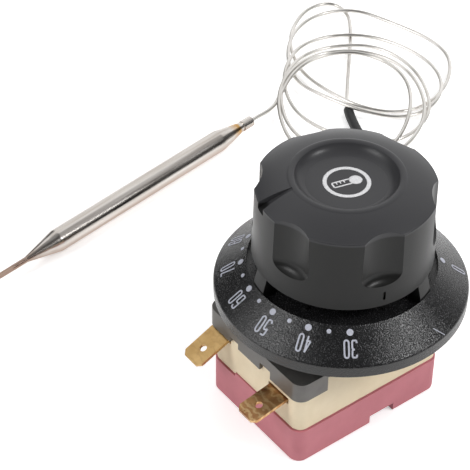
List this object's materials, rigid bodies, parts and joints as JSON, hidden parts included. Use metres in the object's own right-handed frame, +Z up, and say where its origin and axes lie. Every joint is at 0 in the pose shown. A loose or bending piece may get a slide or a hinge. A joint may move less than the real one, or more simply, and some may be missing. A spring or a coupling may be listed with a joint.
{
  "type": "capillary temperature control with knob",
  "caption": "Rotary temperature control with a dial knob, a two-part ceramic switch body, push-on tabs, and a sleeved capillary with a sensing bulb.",
  "frame": {"origin": "where the knob's axis meets the underside of the ceramic base", "axes": "+Z up along the knob's axis towards the knob, -Y towards the push-on tabs, +X towards the side of the base with the notch"},
  "size_m": [0.157, 0.1684, 0.0623],
  "materials": {
    "knob_black": "satin",
    "dial_black": "fine grain",
    "spring_steel": "polished",
    "shaft_steel": "zinc plated",
    "brass": "bright",
    "bracket_steel": "zinc plated",
    "ceramic_cream": "unglazed",
    "ceramic_pink": "unglazed",
    "contact_bronze": "rolled",
    "contact_silver": "bright",
    "capsule_steel": "bright",
    "capillary_metal": "drawn",
    "sleeve_black": "satin",
    "bulb_steel": "bright"
  },
  "bodies": {
    "housing": {"base_housing": "ceramic_pink", "upper_housing": "ceramic_cream", "mounting_bracket": "bracket_steel", "base_cover": "bracket_steel", "clamp_screws": "shaft_steel", "shaft_bush": "brass", "lever_pivot_pin": "shaft_steel", "terminal_left": "brass", "terminal_right": "brass", "fixed_contact": "contact_silver", "diaphragm_capsule": "capsule_steel", "notch_pin": "shaft_steel", "capillary_lead": "capillary_metal", "insulating_sleeve": "sleeve_black", "capillary_coil": "capillary_metal", "capillary_end": "capillary_metal", "braze_collar": "capillary_metal", "sensor_bulb": "bulb_steel"},
    "knob": {"knob_grip": "knob_black", "dial_ring": "dial_black", "knob_clip_spring": "spring_steel", "control_shaft": "shaft_steel", "retaining_ring": "spring_steel", "stop_disc": "shaft_steel"},
    "nut": {"adjusting_nut": "brass"},
    "lever": {"switch_lever": "bracket_steel", "calibration_screw": "shaft_steel", "lever_button": "ceramic_cream"},
    "arm": {"contact_arm": "contact_bronze", "moving_contact": "contact_silver", "snap_spring": "spring_steel"},
    "push": {"push_pin": "ceramic_cream"}
  },
  "joints": [
    {"name": "knob_turn", "type": "hinge", "parent": "housing", "child": "knob", "pos_m": [0, 0, 0.0254], "axis": [0, 0, 1], "range_deg": [0, 273.6]},
    {"name": "nut_rise", "type": "slide", "parent": "housing", "child": "nut", "axis": [0, 0, 1], "range_m": [0, 0.00076]},
    {"name": "lever_tilt", "type": "hinge", "parent": "housing", "child": "lever", "pos_m": [0, 0.009, 0.0126], "axis": [1, 0, 0], "range_deg": [0, 0.8]},
    {"name": "contact_close", "type": "hinge", "parent": "housing", "child": "arm", "pos_m": [-0.0091, -0.013, 0.0195], "axis": [0, 1, 0], "range_deg": [0, 1.6]},
    {"name": "push_drop", "type": "slide", "parent": "housing", "child": "push", "axis": [0, 0, -1], "range_m": [0, 0.0001724]}
  ],
  "couplings": [
    {"joint": "nut_rise", "follows": "knob_turn", "m_per_rad": 0.00015915},
    {"joint": "contact_close", "follows": "lever_tilt", "ratio": 2},
    {"joint": "push_drop", "follows": "lever_tilt", "m_per_rad": 0.01235}
  ]
}
